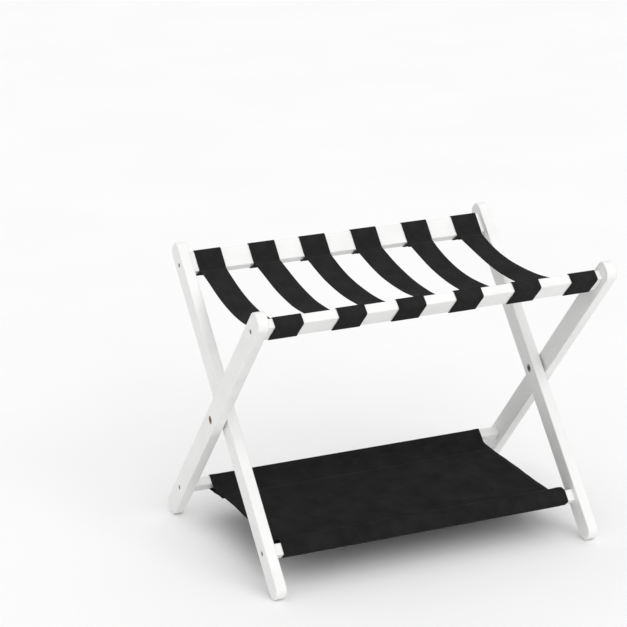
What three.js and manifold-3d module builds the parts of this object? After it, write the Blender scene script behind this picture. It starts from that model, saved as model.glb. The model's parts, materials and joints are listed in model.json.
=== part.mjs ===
// Folding luggage rack: two leg frames that cross like scissors on a pair of pivot bolts, six webbing
// straps between the top rails to carry a case, and a cloth shelf between the low rails.
//
// Millimetres. X runs along the rack, Y from front (-Y) to back (+Y), Z up. The origin is on the floor,
// under the middle of the rack. Each frame is drawn upright round the pivot axis, with its legs along
// local Z, and then leans by LEG_LEAN: the outer frame's top to the front, the inner frame's to the back.
import * as THREE from "three";
import { mergeVertices } from "three/addons/utils/BufferGeometryUtils.js";
import Module from "manifold-3d";

const wasm = await Module();
wasm.setup();

// Driving dimensions of the timber.
const RACK_LENGTH = 676;
const LEG_LEAN = THREE.MathUtils.degToRad(41.9);
const LEG_THICK = 20;
const LEG_WIDTH = 38;
const LEG_GAP = 4;
const LEG_END_RADIUS = 16;
const PIVOT_TO_TOP_RAIL = 302;
const PIVOT_TO_LOW_RAIL = 257;
const TOP_BEYOND_RAIL = 42;
const FOOT_BEYOND_RAIL = 84;
const RAIL_THICK = 18;
const TOP_RAIL_DEEP = 40;
const LOW_RAIL_DEEP = 22;
const EDGE_ROUND = 2;
const FIT_GAP = 0.3;

// Straps and shelf.
const STRAP_COUNT = 6;
const STRAP_WIDTH = 50.8;
const STRAP_THICK = 1.6;
const STRAP_SAG = 30;
const STRAP_CURVE = 2;
const STRAP_STEPS = 14;
const FRONT_STRAP_PITCH = 111.5;
const REAR_STRAP_PITCH = 103.5;
const SHELF_LENGTH = 557;
const SHELF_THICK = 1.2;
const SHELF_SEAM_Y = 118;
const SHELF_DROP = 198.5;
const SHELF_STEPS = 12;
const CLOTH_GAP = 0.4;
const JOIN_SETBACK = 5;

// Fastenings.
const BOLT_HEAD_RADIUS = 7;
const BOLT_HEAD_THICK = 2.2;
const BOLT_RECESS = 0.3;
const BOLT_SHANK_RADIUS = 3;
const BOLT_LENGTH = 32;
const BOLT_SOCKET_RADIUS = 2.8;
const BOLT_SOCKET_DEEP = 1.4;
const NUT_SLEEVE_RADIUS = 4.2;
const NUT_SLEEVE_LENGTH = 31;
const WASHER_RADIUS = 11;
const SCREW_HEAD_RADIUS = 4;
const SCREW_HEAD_THICK = 3;
const SCREW_RECESS = 0.8;
const SCREW_SHANK_RADIUS = 2.5;
const SCREW_LENGTH = 51;
const SCREW_SOCKET_RADIUS = 2.2;
const SCREW_SOCKET_DEEP = 2.1;
const DOWEL_RADIUS = 2.5;
const DOWEL_IN_LEG = 10;
const DOWEL_IN_RAIL = 14;
const TOP_DOWEL_OFFSET = 13;
const LOW_DOWEL_OFFSET = 7;
const TACK_HEAD_RADIUS = 4;
const TACK_HEAD_THICK = 1.2;
const TACK_SHANK_RADIUS = 1;
const TACK_LENGTH = 13;
const SHANK_CLEARANCE = 0.4;
const HEAD_CLEARANCE = 0.5;
const PIVOT_SIDES = 24;
const SCREW_SIDES = 12;
const TACK_SIDES = 8;

// How far a cutting tool reaches past the face that it opens.
const OVERCUT = 1;

// Places along X that follow from the leg sizes. Each is a distance from the middle of the rack.
const OUTER_LEG_X = (RACK_LENGTH - LEG_THICK) / 2;
const INNER_LEG_X = OUTER_LEG_X - LEG_THICK - LEG_GAP;

const paint = new THREE.MeshStandardMaterial({ color: 0xf0f0ec, roughness: 0.45 });
const webbing = new THREE.MeshStandardMaterial({ color: 0x1d1d1d, roughness: 0.9 });
const canvas = new THREE.MeshStandardMaterial({ color: 0x242424, roughness: 0.95 });
const bronze = new THREE.MeshStandardMaterial({ color: 0x7b5c3c, roughness: 0.4, metalness: 1 });
const zinc = new THREE.MeshStandardMaterial({ color: 0x6d706b, roughness: 0.35, metalness: 1 });
const beech = new THREE.MeshStandardMaterial({ color: 0xd3b384, roughness: 0.7 });
const nylon = new THREE.MeshStandardMaterial({ color: 0x8d8f8c, roughness: 0.5 });

// Turns a drawing plane into the rack's Y and Z, with the extrusion along X.
const DRAWN_IN_YZ = new THREE.Matrix4().makeBasis(
  new THREE.Vector3(0, 1, 0),
  new THREE.Vector3(0, 0, 1),
  new THREE.Vector3(1, 0, 0),
);

function toSolid(geometry) {
  const bare = geometry.clone();
  bare.deleteAttribute("normal");
  bare.deleteAttribute("uv");
  const welded = mergeVertices(bare, 1e-4);
  return new wasm.Manifold(
    new wasm.Mesh({
      numProp: 3,
      vertProperties: new Float32Array(welded.attributes.position.array),
      triVerts: new Uint32Array(welded.index.array),
    }),
  );
}

function toGeometry(solid) {
  const mesh = solid.getMesh();
  const geometry = new THREE.BufferGeometry();
  geometry.setAttribute("position", new THREE.BufferAttribute(mesh.vertProperties, mesh.numProp));
  geometry.setIndex(new THREE.BufferAttribute(mesh.triVerts, 1));
  return geometry;
}

function cut(body, tools) {
  return tools.reduce((left, tool) => left.subtract(tool), body);
}

// A round bar along X from x0 to x1.
function barX(radius, x0, x1, y, z, sides) {
  const bar = new THREE.CylinderGeometry(radius, radius, Math.abs(x1 - x0), sides).rotateZ(Math.PI / 2);
  return toSolid(bar.translate((x0 + x1) / 2, y, z));
}

// A round bar along Z from z0 to z1.
function barZ(radius, z0, z1, x, y, sides) {
  const bar = new THREE.CylinderGeometry(radius, radius, Math.abs(z1 - z0), sides).rotateX(Math.PI / 2);
  return toSolid(bar.translate(x, y, (z0 + z1) / 2));
}

function roundedOutline(yHalf, zLow, zHigh, radius) {
  const outline = new THREE.Shape();
  outline.absarc(yHalf - radius, zHigh - radius, radius, 0, Math.PI / 2);
  outline.absarc(radius - yHalf, zHigh - radius, radius, Math.PI / 2, Math.PI);
  outline.absarc(radius - yHalf, zLow + radius, radius, Math.PI, 1.5 * Math.PI);
  outline.absarc(yHalf - radius, zLow + radius, radius, 1.5 * Math.PI, 2 * Math.PI);
  outline.closePath();
  return outline;
}

// A slab of the outline, centred on X, with its two faces' edges rounded off.
function slabX(outline, thickness, edge, curveSegments) {
  const slab = new THREE.ExtrudeGeometry(outline, {
    depth: thickness - 2 * edge,
    bevelEnabled: edge > 0,
    bevelThickness: edge,
    bevelSize: edge,
    bevelOffset: -edge,
    bevelSegments: 2,
    curveSegments,
  });
  return slab.translate(0, 0, edge - thickness / 2).applyMatrix4(DRAWN_IN_YZ);
}

// The two rails' places along a leg, each with the offset of the dowel that stops the rail turning.
const railSeats = [
  { z: PIVOT_TO_TOP_RAIL, dowel: -TOP_DOWEL_OFFSET },
  { z: -PIVOT_TO_LOW_RAIL, dowel: LOW_DOWEL_OFFSET },
];

// A leg, centred on its own X. side is 1 on the right and -1 on the left. boltFace is 1 where the pivot's
// recess is in the face away from the rack's middle, and -1 where it is in the face towards it.
function legGeometry(side, boltFace) {
  const outline = roundedOutline(
    LEG_WIDTH / 2,
    -PIVOT_TO_LOW_RAIL - FOOT_BEYOND_RAIL,
    PIVOT_TO_TOP_RAIL + TOP_BEYOND_RAIL,
    LEG_END_RADIUS,
  );
  const face = (LEG_THICK / 2) * side;
  const past = (LEG_THICK / 2 + OVERCUT) * side;
  const recessFloor = (LEG_THICK / 2 - BOLT_HEAD_THICK - BOLT_RECESS - FIT_GAP) * side * boltFace;
  const holes = [
    barX(NUT_SLEEVE_RADIUS + SHANK_CLEARANCE, -past, past, 0, 0, PIVOT_SIDES),
    barX(BOLT_HEAD_RADIUS + HEAD_CLEARANCE, recessFloor, past * boltFace, 0, 0, PIVOT_SIDES),
  ];
  for (const seat of railSeats) {
    const headFloor = face - (SCREW_HEAD_THICK + SCREW_RECESS + FIT_GAP) * side;
    holes.push(barX(SCREW_SHANK_RADIUS + SHANK_CLEARANCE, -past, past, 0, seat.z, SCREW_SIDES));
    holes.push(barX(SCREW_HEAD_RADIUS + HEAD_CLEARANCE, headFloor, past, 0, seat.z, SCREW_SIDES));
    const blindEnd = -face + (DOWEL_IN_LEG + FIT_GAP) * side;
    const dowelZ = seat.z + seat.dowel;
    holes.push(barX(DOWEL_RADIUS + SHANK_CLEARANCE, blindEnd, -past, 0, dowelZ, SCREW_SIDES));
  }
  return toGeometry(cut(toSolid(slabX(outline, LEG_THICK, EDGE_ROUND, 6)), holes));
}

// A rail between two legs, with a screw hole and a dowel hole in each end, and tack holes underneath.
function railGeometry(halfLength, deep, z, dowel, tackPlaces) {
  const outline = roundedOutline(RAIL_THICK / 2, z - deep / 2, z + deep / 2, EDGE_ROUND);
  const holes = [];
  for (const side of [-1, 1]) {
    const past = (halfLength + OVERCUT) * side;
    const screwEnd = (halfLength - (SCREW_LENGTH - LEG_THICK) - OVERCUT) * side;
    const dowelEnd = (halfLength - DOWEL_IN_RAIL - FIT_GAP) * side;
    holes.push(barX(SCREW_SHANK_RADIUS + SHANK_CLEARANCE, screwEnd, past, 0, z, SCREW_SIDES));
    holes.push(barX(DOWEL_RADIUS + SHANK_CLEARANCE, dowelEnd, past, 0, z + dowel, SCREW_SIDES));
  }
  const underside = z - deep / 2;
  for (const x of tackPlaces) {
    const tackEnd = underside + TACK_LENGTH;
    holes.push(barZ(TACK_SHANK_RADIUS + SHANK_CLEARANCE, underside - OVERCUT, tackEnd, x, 0, TACK_SIDES));
  }
  return toGeometry(cut(toSolid(slabX(outline, 2 * halfLength, 0, 2)), holes));
}

// A screw through a leg into a rail's end. legFaceX is the leg's outer face, where its head is sunk in.
function screwGeometry(side, legFaceX, z) {
  const headFace = (legFaceX - SCREW_RECESS) * side;
  const headFloor = headFace - SCREW_HEAD_THICK * side;
  const point = headFace - (SCREW_LENGTH - SCREW_RECESS) * side;
  const socketFloor = headFace - SCREW_SOCKET_DEEP * side;
  const head = barX(SCREW_HEAD_RADIUS, headFloor, headFace, 0, z, SCREW_SIDES);
  const shank = barX(SCREW_SHANK_RADIUS, point, headFace - side, 0, z, SCREW_SIDES);
  const socket = barX(SCREW_SOCKET_RADIUS, socketFloor, headFace + OVERCUT * side, 0, z, 6);
  return toGeometry(head.add(shank).subtract(socket));
}

function dowelGeometry(side, jointX, z) {
  const dowel = new THREE.CylinderGeometry(DOWEL_RADIUS, DOWEL_RADIUS, DOWEL_IN_LEG + DOWEL_IN_RAIL, 10);
  dowel.rotateZ(Math.PI / 2);
  return dowel.translate((jointX + (DOWEL_IN_LEG - DOWEL_IN_RAIL) / 2) * side, 0, z);
}

// The pivot bolt's head sits in the outer leg's outer face. Its shank ends inside the sleeve nut.
function boltGeometry(side) {
  const headFace = (RACK_LENGTH / 2 - BOLT_RECESS) * side;
  const headFloor = headFace - BOLT_HEAD_THICK * side;
  const tip = headFace - BOLT_LENGTH * side;
  const head = barX(BOLT_HEAD_RADIUS, headFloor, headFace, 0, 0, PIVOT_SIDES);
  const shank = barX(BOLT_SHANK_RADIUS, tip, headFace - side, 0, 0, SCREW_SIDES);
  const socketFloor = headFace - BOLT_SOCKET_DEEP * side;
  const socket = barX(BOLT_SOCKET_RADIUS, socketFloor, headFace + OVERCUT * side, 0, 0, 6);
  return toGeometry(head.add(shank).subtract(socket));
}

// The sleeve nut's head sits in the inner leg's inner face. Both legs turn on its sleeve.
function nutGeometry(side) {
  const headFace = (INNER_LEG_X - LEG_THICK / 2 + BOLT_RECESS) * side;
  const headFloor = headFace + BOLT_HEAD_THICK * side;
  const sleeveEnd = headFace + (BOLT_HEAD_THICK + NUT_SLEEVE_LENGTH) * side;
  const head = barX(BOLT_HEAD_RADIUS, headFace, headFloor, 0, 0, PIVOT_SIDES);
  const sleeve = barX(NUT_SLEEVE_RADIUS, headFace + side, sleeveEnd, 0, 0, PIVOT_SIDES);
  const bore = BOLT_SHANK_RADIUS + SHANK_CLEARANCE;
  const boreEnd = sleeveEnd + OVERCUT * side;
  const thread = barX(bore, headFace - OVERCUT * side, boreEnd, 0, 0, SCREW_SIDES);
  return toGeometry(head.add(sleeve).subtract(thread));
}

function washerGeometry(side) {
  const near = (INNER_LEG_X + LEG_THICK / 2 + FIT_GAP) * side;
  const far = near + (LEG_GAP - 2 * FIT_GAP) * side;
  const disc = barX(WASHER_RADIUS, near, far, 0, 0, PIVOT_SIDES);
  const bore = NUT_SLEEVE_RADIUS + SHANK_CLEARANCE;
  const hole = barX(bore, near - OVERCUT * side, far + OVERCUT * side, 0, 0, PIVOT_SIDES);
  return toGeometry(disc.subtract(hole));
}

// A tack up into a top rail's underside, through the strap that wraps it.
function tackGeometry(x) {
  const strapFace = PIVOT_TO_TOP_RAIL - TOP_RAIL_DEEP / 2 - CLOTH_GAP - STRAP_THICK;
  const headTop = strapFace - FIT_GAP;
  const head = barZ(TACK_HEAD_RADIUS, headTop - TACK_HEAD_THICK, headTop, x, 0, SCREW_SIDES);
  const shankStart = headTop - TACK_HEAD_THICK / 2;
  const shank = barZ(TACK_SHANK_RADIUS, shankStart, headTop + TACK_LENGTH, x, 0, TACK_SIDES);
  return toGeometry(head.add(shank));
}

// Where a point of a frame's upright drawing is once the frame leans to the back, as Y and Z from the pivot.
function leanedBack(y, z) {
  const c = Math.cos(LEG_LEAN);
  const s = Math.sin(LEG_LEAN);
  return new THREE.Vector2(y * c + z * s, z * c - y * s);
}

// The same for a frame that leans to the front, mirrored so that its low end counts as +Y.
function lowEndOf(y, z) {
  const point = leanedBack(y, -z);
  return new THREE.Vector2(point.x, -point.y);
}

// The outward side of the line from a to b, on a loop that is drawn anticlockwise.
function outward(a, b) {
  const along = b.clone().sub(a).normalize();
  return new THREE.Vector2(along.y, -along.x);
}

// The line at a distance round a loop of corners, each with a radius of its own, as points. The first corner
// is where the cloth joins the loop, and an open line leaves out that corner's own bend.
function lineRound(corners, extra, open) {
  const bends = corners.map((here, i) => {
    const before = corners.at(i - 1);
    const after = corners[(i + 1) % corners.length];
    const arrive = outward(before.at, here.at).angle();
    const leave = outward(here.at, after.at).angle();
    const turn = (leave - arrive + 2 * Math.PI) % (2 * Math.PI);
    return [0, 0.5, 1].map((share) => {
      const angle = arrive + turn * share;
      const reach = new THREE.Vector2(Math.cos(angle), Math.sin(angle)).multiplyScalar(here.radius + extra);
      return reach.add(here.at);
    });
  });
  if (!open) return bends.flat();
  const [join, ...others] = bends;
  return [join.at(-1), ...others.flat(), join[0]];
}

const mirrored = (point) => new THREE.Vector2(-point.x, point.y);

// The side outline of a strip of cloth that wraps a rail at each end. corners go round the back rail, the
// front end is its mirror image, and height gives the strip's middle line at each y.
function wrappedStrip(corners, thickness, height, joinY, steps) {
  const backLoop = lineRound(corners, thickness, true);
  const frontLoop = backLoop.map(mirrored).reverse();
  const above = [];
  const below = [];
  for (let i = 0; i <= steps; i += 1) {
    const y = (joinY - JOIN_SETBACK) * (1 - (2 * i) / steps);
    const slope = height(y + 0.5) - height(y - 0.5);
    const normal = new THREE.Vector2(-slope, 1).normalize().multiplyScalar(thickness / 2);
    const middle = new THREE.Vector2(y, height(y));
    above.push(middle.clone().add(normal));
    below.unshift(middle.clone().sub(normal));
  }
  const shape = new THREE.Shape([...backLoop, ...above, ...frontLoop, ...below]);
  const pocket = lineRound(corners, 0, false);
  shape.holes.push(new THREE.Path(pocket), new THREE.Path(pocket.map(mirrored)));
  return shape;
}

// Corners of a rail's section, anticlockwise in Y and Z from the pivot.
function railCorner(place, y, z) {
  return { at: place(y, z), radius: EDGE_ROUND + CLOTH_GAP };
}

function strapShape() {
  const y = RAIL_THICK / 2 - EDGE_ROUND;
  const low = PIVOT_TO_TOP_RAIL - TOP_RAIL_DEEP / 2 + EDGE_ROUND;
  const high = PIVOT_TO_TOP_RAIL + TOP_RAIL_DEEP / 2 - EDGE_ROUND;
  const corners = [[-y, low], [y, low], [y, high], [-y, high]].map(([a, b]) => railCorner(leanedBack, a, b));
  const join = corners[0].at;
  const height = (at) => join.y - STRAP_SAG * (1 - Math.abs(at / join.x) ** STRAP_CURVE);
  return { shape: wrappedStrip(corners, STRAP_THICK, height, join.x, STRAP_STEPS), joinY: join.x };
}

function shelfShape() {
  const y = RAIL_THICK / 2 - EDGE_ROUND;
  const low = -PIVOT_TO_LOW_RAIL - LOW_RAIL_DEEP / 2 + EDGE_ROUND;
  const high = -PIVOT_TO_LOW_RAIL + LOW_RAIL_DEEP / 2 - EDGE_ROUND;
  const seam = { at: new THREE.Vector2(SHELF_SEAM_Y, -SHELF_DROP), radius: CLOTH_GAP };
  const railCorners = [[-y, low], [y, low], [y, high]].map(([a, b]) => railCorner(lowEndOf, a, b));
  const corners = [seam, ...railCorners];
  return wrappedStrip(corners, SHELF_THICK, () => -SHELF_DROP, SHELF_SEAM_Y, SHELF_STEPS);
}

const strapPlace = (index, pitch) => (index - (STRAP_COUNT - 1) / 2) * pitch;

// A strap leans outwards to the front, because its loops sit further apart on the longer front rail.
function strapGeometry(index) {
  const { shape, joinY } = strapShape();
  const strap = slabX(shape, STRAP_WIDTH, 0, 1);
  const position = strap.attributes.position;
  const front = strapPlace(index, FRONT_STRAP_PITCH);
  const rear = strapPlace(index, REAR_STRAP_PITCH);
  for (let i = 0; i < position.count; i += 1) {
    const share = THREE.MathUtils.clamp((position.getY(i) + joinY) / (2 * joinY), 0, 1);
    position.setX(i, position.getX(i) + THREE.MathUtils.lerp(front, rear, share));
  }
  const low = PIVOT_TO_TOP_RAIL - TOP_RAIL_DEEP / 2;
  const hole = (x, lean) => {
    const through = 2 * (CLOTH_GAP + STRAP_THICK);
    const bar = barZ(TACK_SHANK_RADIUS + SHANK_CLEARANCE, low - through, low + OVERCUT, x, 0, TACK_SIDES);
    return bar.rotate([THREE.MathUtils.radToDeg(lean), 0, 0]);
  };
  return toGeometry(cut(toSolid(strap), [hole(front, LEG_LEAN), hole(rear, -LEG_LEAN)]));
}

const rack = new THREE.Group();

function add(group, name, geometry, material, x = 0) {
  const mesh = new THREE.Mesh(geometry, material);
  mesh.name = name;
  mesh.position.x = x;
  group.add(mesh);
}

// One leg frame. label starts its legs' names, and rails names its top and low rails.
function addFrame(label, lean, legX, boltFace, rails, tackPlaces) {
  const frame = new THREE.Group();
  frame.rotation.x = lean;
  const innerFace = legX - LEG_THICK / 2;
  const outerFace = legX + LEG_THICK / 2;
  const sides = [["left", -1], ["right", 1]];
  for (const [sideName, side] of sides) {
    add(frame, `${label}_leg_${sideName}`, legGeometry(side, boltFace), paint, legX * side);
  }
  const depths = [TOP_RAIL_DEEP, LOW_RAIL_DEEP];
  railSeats.forEach((seat, i) => {
    const places = i === 0 ? tackPlaces : [];
    const rail = railGeometry(innerFace - FIT_GAP, depths[i], seat.z, seat.dowel, places);
    add(frame, rails[i], rail, paint);
    for (const [sideName, side] of sides) {
      add(frame, `${rails[i]}_screw_${sideName}`, screwGeometry(side, outerFace, seat.z), zinc);
      const dowel = dowelGeometry(side, innerFace, seat.z + seat.dowel);
      add(frame, `${rails[i]}_dowel_${sideName}`, dowel, beech);
    }
  });
  tackPlaces.forEach((x, i) => add(frame, `${rails[0]}_tack_${i + 1}`, tackGeometry(x), zinc));
  rack.add(frame);
}

const strapNumbers = Array.from({ length: STRAP_COUNT }, (_, index) => index);
const frontPlaces = strapNumbers.map((index) => strapPlace(index, FRONT_STRAP_PITCH));
const rearPlaces = strapNumbers.map((index) => strapPlace(index, REAR_STRAP_PITCH));

addFrame("outer", LEG_LEAN, OUTER_LEG_X, 1, ["front_top_rail", "rear_low_rail"], frontPlaces);
addFrame("inner", -LEG_LEAN, INNER_LEG_X, -1, ["rear_top_rail", "front_low_rail"], rearPlaces);
for (const [sideName, side] of [["left", -1], ["right", 1]]) {
  add(rack, `pivot_bolt_${sideName}`, boltGeometry(side), bronze);
  add(rack, `pivot_nut_${sideName}`, nutGeometry(side), zinc);
  add(rack, `pivot_washer_${sideName}`, washerGeometry(side), nylon);
}
strapNumbers.forEach((index) => add(rack, `strap_${index + 1}`, strapGeometry(index), webbing));
add(rack, "shelf_cloth", slabX(shelfShape(), SHELF_LENGTH, 0, 1), canvas);

// Everything so far is measured from the pivot axis. The rack now goes up until its feet are on the floor.
const luggageRack = new THREE.Group();
luggageRack.add(rack);
luggageRack.updateMatrixWorld(true);
rack.position.z = -new THREE.Box3().setFromObject(luggageRack, true).min.z;

export default luggageRack;
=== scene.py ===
"""Looks of the folding luggage rack: painted timber, webbing straps, a cloth shelf and its fastenings.

Everything is in metres. Timber is drawn in its leg frame's own upright place, with the pivot at the
origin and local Z along the legs, and then leans with the frame. The cloths' lines are places in Y and Z
from the pivot in the open rack.
"""

import json
import math

import bmesh
import bpy
import numpy as np
from mathutils import Matrix, Vector, noise

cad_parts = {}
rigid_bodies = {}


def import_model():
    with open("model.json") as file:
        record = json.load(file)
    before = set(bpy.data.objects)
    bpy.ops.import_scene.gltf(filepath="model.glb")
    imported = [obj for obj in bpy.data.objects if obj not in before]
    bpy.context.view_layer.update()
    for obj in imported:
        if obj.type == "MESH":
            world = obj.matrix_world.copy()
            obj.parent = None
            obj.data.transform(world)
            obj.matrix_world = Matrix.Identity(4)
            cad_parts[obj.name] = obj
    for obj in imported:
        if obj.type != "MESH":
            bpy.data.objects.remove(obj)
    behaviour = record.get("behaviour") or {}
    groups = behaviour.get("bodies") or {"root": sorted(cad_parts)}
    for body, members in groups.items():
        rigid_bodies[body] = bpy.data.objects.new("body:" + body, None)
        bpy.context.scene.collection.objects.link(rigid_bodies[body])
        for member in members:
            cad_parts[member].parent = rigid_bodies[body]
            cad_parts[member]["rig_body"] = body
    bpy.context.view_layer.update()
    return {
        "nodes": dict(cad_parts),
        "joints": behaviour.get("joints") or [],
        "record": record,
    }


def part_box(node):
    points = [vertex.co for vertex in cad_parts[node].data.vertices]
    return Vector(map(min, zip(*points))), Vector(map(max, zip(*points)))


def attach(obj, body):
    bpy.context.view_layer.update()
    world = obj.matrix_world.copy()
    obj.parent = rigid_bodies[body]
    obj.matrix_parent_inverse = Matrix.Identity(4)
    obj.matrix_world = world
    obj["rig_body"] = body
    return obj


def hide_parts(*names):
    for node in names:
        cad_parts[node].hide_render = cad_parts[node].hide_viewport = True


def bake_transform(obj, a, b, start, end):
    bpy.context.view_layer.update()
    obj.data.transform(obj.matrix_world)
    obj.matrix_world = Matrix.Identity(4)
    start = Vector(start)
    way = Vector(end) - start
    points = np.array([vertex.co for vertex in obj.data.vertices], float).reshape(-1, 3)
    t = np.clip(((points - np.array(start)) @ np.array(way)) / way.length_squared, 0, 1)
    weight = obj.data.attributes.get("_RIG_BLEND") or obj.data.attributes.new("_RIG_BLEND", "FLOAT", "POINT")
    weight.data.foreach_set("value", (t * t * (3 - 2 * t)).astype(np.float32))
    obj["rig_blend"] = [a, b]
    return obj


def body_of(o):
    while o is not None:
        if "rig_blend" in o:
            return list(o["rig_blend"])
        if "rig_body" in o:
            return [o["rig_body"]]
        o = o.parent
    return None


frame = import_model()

# Timber, as in the part.
PIVOT = Vector(frame["joints"][0]["pos_m"])
LEG_LEAN = math.radians(41.9)
FRAME_TILT = {"outer_frame": LEG_LEAN, "inner_frame": -LEG_LEAN}
LEG_WIDTH = 0.038
LEG_END_RADIUS = 0.016
LEG_END_STEPS = 12
TOP_RAIL_Z = 0.302
LOW_RAIL_Z = -0.257
LEG_TOP_Z = TOP_RAIL_Z + 0.042
LEG_FOOT_Z = LOW_RAIL_Z - 0.084
RAIL_THICK = 0.018
TOP_RAIL_DEEP = 0.040
LOW_RAIL_DEEP = 0.022
EDGE_ROUND = 0.002
EDGE_STEPS = 5
BEVEL_ANGLE = math.radians(40)
BEVEL_SEGMENTS = 4

# Holes. A drill flares by RIM_FLARE where it leaves the wood, and goes OVERCUT past it.
RIM_FLARE = 0.0004
OVERCUT = 0.001
BOLT_HOLE_RADIUS = 0.0075
BOLT_HOLE_DEEP = 0.0028
SLEEVE_HOLE_RADIUS = 0.0046
SCREW_HOLE_RADIUS = 0.0045
SCREW_HOLE_DEEP = 0.0041
SHANK_HOLE_RADIUS = 0.0029
RAIL_SHANK_HOLE_DEEP = 0.032
DOWEL_HOLE_RADIUS = 0.0029
LEG_DOWEL_HOLE_DEEP = 0.0103
RAIL_DOWEL_HOLE_DEEP = 0.0143
TOP_DOWEL_OFFSET = -0.013
LOW_DOWEL_OFFSET = 0.007

# Each rail's Z, its dowel's place beside its screw, and its depth: the top rail, then the low one.
RAIL_SEATS = (
    (TOP_RAIL_Z, TOP_DOWEL_OFFSET, TOP_RAIL_DEEP),
    (LOW_RAIL_Z, LOW_DOWEL_OFFSET, LOW_RAIL_DEEP),
)

# Straps. The lists go from the left strap to the right one: no strap hangs quite like its neighbours.
STRAP_COUNT = 6
STRAP_WIDTH = 0.0508
STRAP_THICK = 0.0014
STRAP_SAGS = (0.0290, 0.0280, 0.0290, 0.0307, 0.0364, 0.0324)
BACK_RISES = (0.0040, 0.0050, -0.0020, -0.0015, -0.0020, -0.0020)
FRONT_STRAP_SHIFTS = (0.003, 0.007, 0.006, 0.003, 0.003, 0.003)
REAR_STRAP_SHIFTS = (0.002, 0.004, 0.001, 0.001, 0.002, 0.002)
EVEN_TWISTS = (0.0, 0.0, 0.0, 0.002, -0.001, -0.002)
GROWING_TWISTS = (0.003, -0.001, 0.001, -0.004, 0.004, 0.008)
FRONT_STRAP_PITCH = 0.1115
REAR_STRAP_PITCH = 0.1035
STRAP_COLUMNS = 17
SEAT_POINTS = 40
SEAT_NARROWING = 0.045
SEAT_NARROWING_POWER = 12
SEAT_SLACK_POWER = 4
CUPPING_HEIGHT = 0.0008
RIPPLE_HEIGHT = 0.0008
RIPPLE_ACROSS = 18.0
RIPPLE_ALONG = 14.0
RIPPLE_LAYER = 3.1
RIPPLE_STRAP_STEP = 7.3
CREASE_RISE = 0.003
CREASE_AHEAD = 0.004

# The strap's sewn tails, under the seat. A tail lies TAIL_LAYER thicknesses under it, and is shifted aside
# by TAIL_SHIFT, which fades between the two lengths from the strap's end in TAIL_FADE.
TAIL_LENGTH = 0.0125
TAIL_LEAVES = 0.005
TAIL_POINTS = 4
TAIL_LAYER = 1.12
TAIL_SHIFT = 0.0025
TAIL_FADE = (0.03, 0.07)

# Shelf cloth. The top lines are where it comes down from each rail to the shelf's level.
SHELF_LENGTH = 0.557
SHELF_THICK = 0.0009
SHELF_COLUMNS = 121
SHELF_POINTS = 60
SEAM_Y = 0.118
SHELF_LEVEL = -0.1985
BACK_TOP_LINE = ((0.1505, -0.1950), (0.1440, -0.1972), (0.1300, -0.1980))
FRONT_TOP_LINE = ((-0.1600, -0.1762), (-0.1500, -0.1800), (-0.1380, -0.1888), (-0.1270, -0.1962))
HEM_WIDTH = 0.012
HEM_LAYER = 1.3
HEM_SHARES = (1.0, 0.5, 0.0)
SIDE_HEM = 0.009
SIDE_HEM_STEP = 0.002
SLEEVE_ROUND = 0.1

# The shelf's creases. A size of wrinkle is its height, its waves a metre in X, how they slant with Y, its
# waves a metre in Y, and its layer of the noise. A soft fold is its start and end in X and Y, its width and
# its height. The slack left side lifts by LEFT_LIFT.
WRINKLES = (
    (0.0022, 7.0, 0.0, 9.0, 1.7),
    (0.0012, 16.0, 9.0, 22.0, 5.2),
    (0.00035, 45.0, 0.0, 55.0, 8.8),
)
FLAT_POWER = 4
LEFT_LIFT = 0.006
LEFT_LIFT_FROM = 0.18
FOLD_FADE = 2.2
SHELF_FOLDS = (
    ((0.275, 0.13), (0.10, 0.02), 0.009, 0.0030),
    ((0.24, -0.12), (0.02, -0.07), 0.010, 0.0022),
    ((-0.26, 0.11), (-0.12, 0.03), 0.008, 0.0022),
    ((-0.25, -0.11), (-0.13, -0.06), 0.016, 0.0035),
)

# The loose stretch of each sleeve: it grows from the seam to LOOSE_FULL and fades over LOOSE_FADE.
LOOSE_HEIGHT = 0.0028
LOOSE_ALONG = 11.0
LOOSE_ROUND = 60.0
LOOSE_LAYER = 4.0
LOOSE_LAYER_STEP = 2.0
LOOSE_FULL = 0.132
LOOSE_FADE = (0.145, 0.158)

# All the cloth. Its rim bulges by CLOTH_RIM of its thickness.
CLOTH_GAP = 0.0004
CLOTH_STEP = 0.005
CLOTH_RIM = 0.35
WRAP_STEPS = 5

# Sewing. A stitch's ends sink by up to STITCH_SINK of its radius.
STITCH_LENGTH = 0.0027
STITCH_RADIUS = 0.00035
STITCH_SINK = 1.4
STITCH_SIDES = 6
STITCH_RINGS = ((-0.5, 0.15), (-0.3, 0.8), (0.0, 1.0), (0.3, 0.8), (0.5, 0.15))
STITCH_PITCH = STITCH_LENGTH * 1.35
STRAP_SEAMS = (0.0070, 0.0100)
STRAP_STITCHES = 13
STRAP_SEAM_MARGIN = 0.06
SHELF_SEAM_INSET = 0.004
SHELF_SEAM_END = 0.003

# Fastenings, from the face of each head inwards.
ROUND_SIDES = 48
SOCKET_SIDES = 6
SOCKET_CHAMFER = 0.0003
HEAD_ROUND = 0.0005
PIVOT_HEAD_RADIUS = 0.007
PIVOT_HEAD_THICK = 0.0022
BOLT_SOCKET_RADIUS = 0.0028
BOLT_SOCKET_MOUTH = 0.0032
BOLT_SOCKET_DEEP = 0.0014
BOLT_SHANK_RADIUS = 0.003
BOLT_TIP_RADIUS = 0.0024
BOLT_TIP_START = 0.0312
BOLT_LENGTH = 0.032
NUT_BORE_RADIUS = 0.0034
NUT_BORE_MOUTH = 0.004
NUT_BORE_CHAMFER = 0.0006
NUT_SLEEVE_RADIUS = 0.0042
NUT_LENGTH = 0.0332
SCREW_HEAD_RADIUS = 0.004
SCREW_HEAD_THICK = 0.003
SCREW_SOCKET_RADIUS = 0.0022
SCREW_SOCKET_MOUTH = 0.0025
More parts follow.
